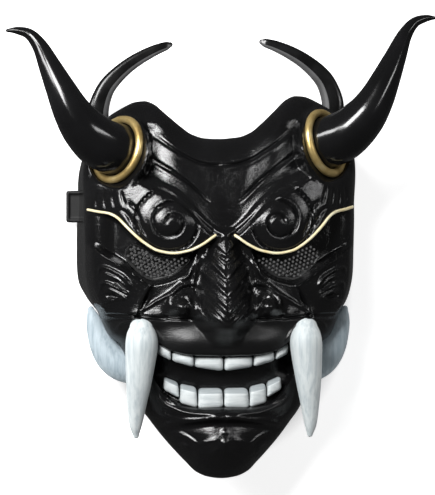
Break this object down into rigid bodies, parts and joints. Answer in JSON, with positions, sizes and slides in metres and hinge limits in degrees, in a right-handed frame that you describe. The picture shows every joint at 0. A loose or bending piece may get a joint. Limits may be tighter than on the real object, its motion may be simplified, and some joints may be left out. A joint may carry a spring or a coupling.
{
  "type": "horned demon face guard",
  "caption": "Full-face armour mask of a fanged demon with forward horns in gold rings, thin rear horns, pierced eye plates, teeth and tusks; it covers the wearer's face.",
  "frame": {"origin": "under the middle of the whole mask, on the surface its rear rim lies on", "axes": "+X to the viewer's right of the face, +Y from the chin to the brow, +Z out of the face"},
  "size_m": [0.29, 0.3146, 0.1089],
  "materials": {
    "black_lacquer": "gloss lacquer over a cast face",
    "horn_black": "high gloss lacquer",
    "ring_gold": "satin gold paint",
    "line_gold": "satin pale gold paint",
    "tusk_white": "dry-brushed white paint",
    "tooth_white": "dry-brushed white paint",
    "eye_mesh": "semi-gloss black",
    "satin_black": "satin"
  },
  "bodies": {
    "root": {"face_shell": "black_lacquer", "horn_left": "horn_black", "horn_ring_left": "ring_gold", "rear_horn_left": "satin_black", "tusk_left": "tusk_white", "side_tusk_left": "tusk_white", "upper_tooth_1_left": "tooth_white", "upper_tooth_2_left": "tooth_white", "upper_tooth_3_left": "tooth_white", "lower_tooth_1_left": "tooth_white", "lower_tooth_2_left": "tooth_white", "lower_tooth_3_left": "tooth_white", "eye_mesh_left": "eye_mesh", "brow_line_left": "line_gold", "horn_right": "horn_black", "horn_ring_right": "ring_gold", "rear_horn_right": "satin_black", "tusk_right": "tusk_white", "side_tusk_right": "tusk_white", "upper_tooth_1_right": "tooth_white", "upper_tooth_2_right": "tooth_white", "upper_tooth_3_right": "tooth_white", "lower_tooth_1_right": "tooth_white", "lower_tooth_2_right": "tooth_white", "lower_tooth_3_right": "tooth_white", "eye_mesh_right": "eye_mesh", "brow_line_right": "line_gold", "strap_buckle": "satin_black"}
  },
  "joints": []
}
